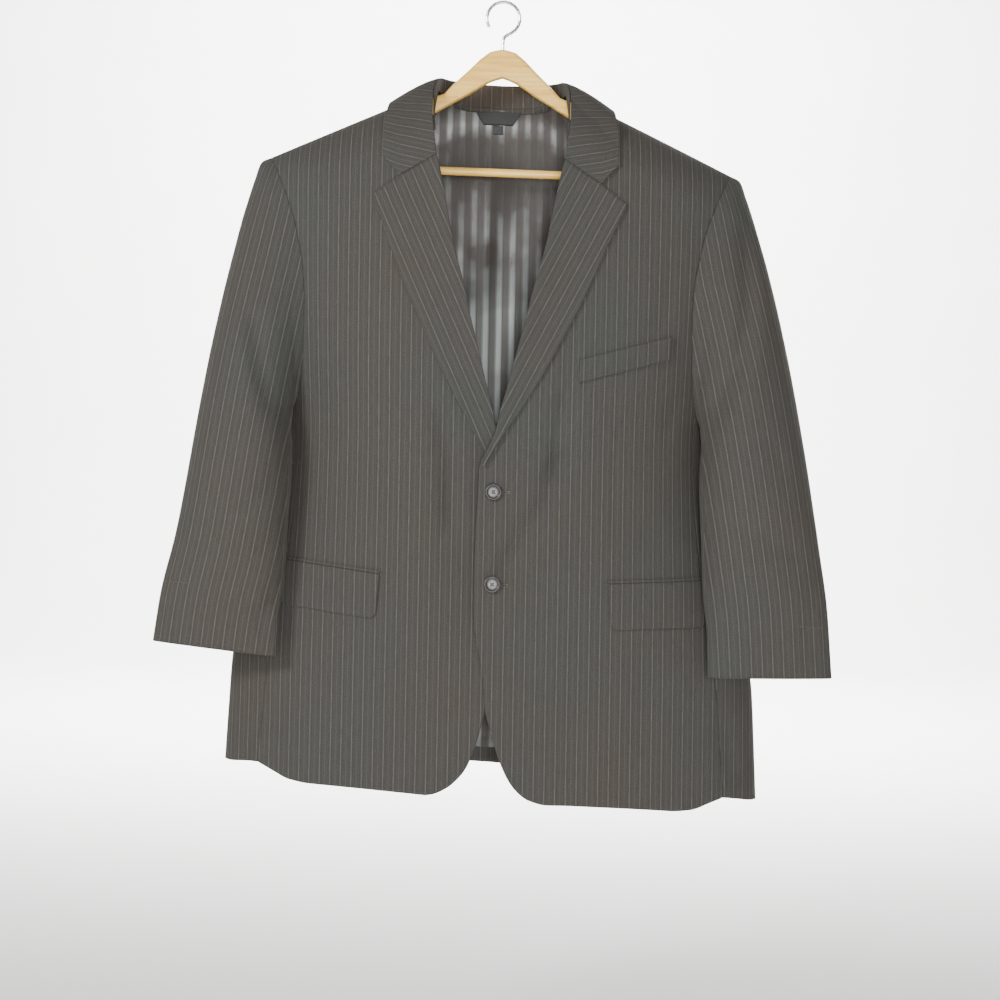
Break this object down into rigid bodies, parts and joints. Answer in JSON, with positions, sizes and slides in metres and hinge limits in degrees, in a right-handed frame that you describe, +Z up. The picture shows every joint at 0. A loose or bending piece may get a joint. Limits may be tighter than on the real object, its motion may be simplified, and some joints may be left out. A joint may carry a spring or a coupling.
{
  "type": "two-button suit jacket on a wooden hanger",
  "caption": "Dark grey pinstriped suit jacket with notched lapels, welt and flap pockets, buttoned and hanging on a plain wooden hanger with a steel hook.",
  "frame": {"origin": "inside top of the hanger's hook, where the rail bears", "axes": "+Z up, -Y the jacket's front, +X towards the wearer's left sleeve"},
  "size_m": [0.803, 0.1199, 0.9676],
  "materials": {
    "suiting": "worsted wool with a light pinstripe",
    "lining": "striped satin",
    "label": "woven tape",
    "tag": "woven tape",
    "button": "polished resin",
    "wood": "lacquered pale wood",
    "steel": "bright wire"
  },
  "bodies": {
    "root": {"front_left": "suiting", "front_right": "suiting", "side_left": "suiting", "side_right": "suiting", "back_left": "suiting", "back_right": "suiting", "topsleeve_left": "suiting", "topsleeve_right": "suiting", "undersleeve_left": "suiting", "undersleeve_right": "suiting", "lapel_left": "suiting", "lapel_right": "suiting", "collar_leaf": "suiting", "collar_stand": "suiting", "breast_welt": "suiting", "flap_left": "suiting", "flap_right": "suiting", "jet_left": "suiting", "jet_right": "suiting", "lining_back": "lining", "neck_label": "label", "size_tag": "tag", "button_upper": "button", "button_lower": "button", "hanger_arms": "wood", "hanger_bar": "wood", "hanger_hook": "steel"}
  },
  "joints": []
}
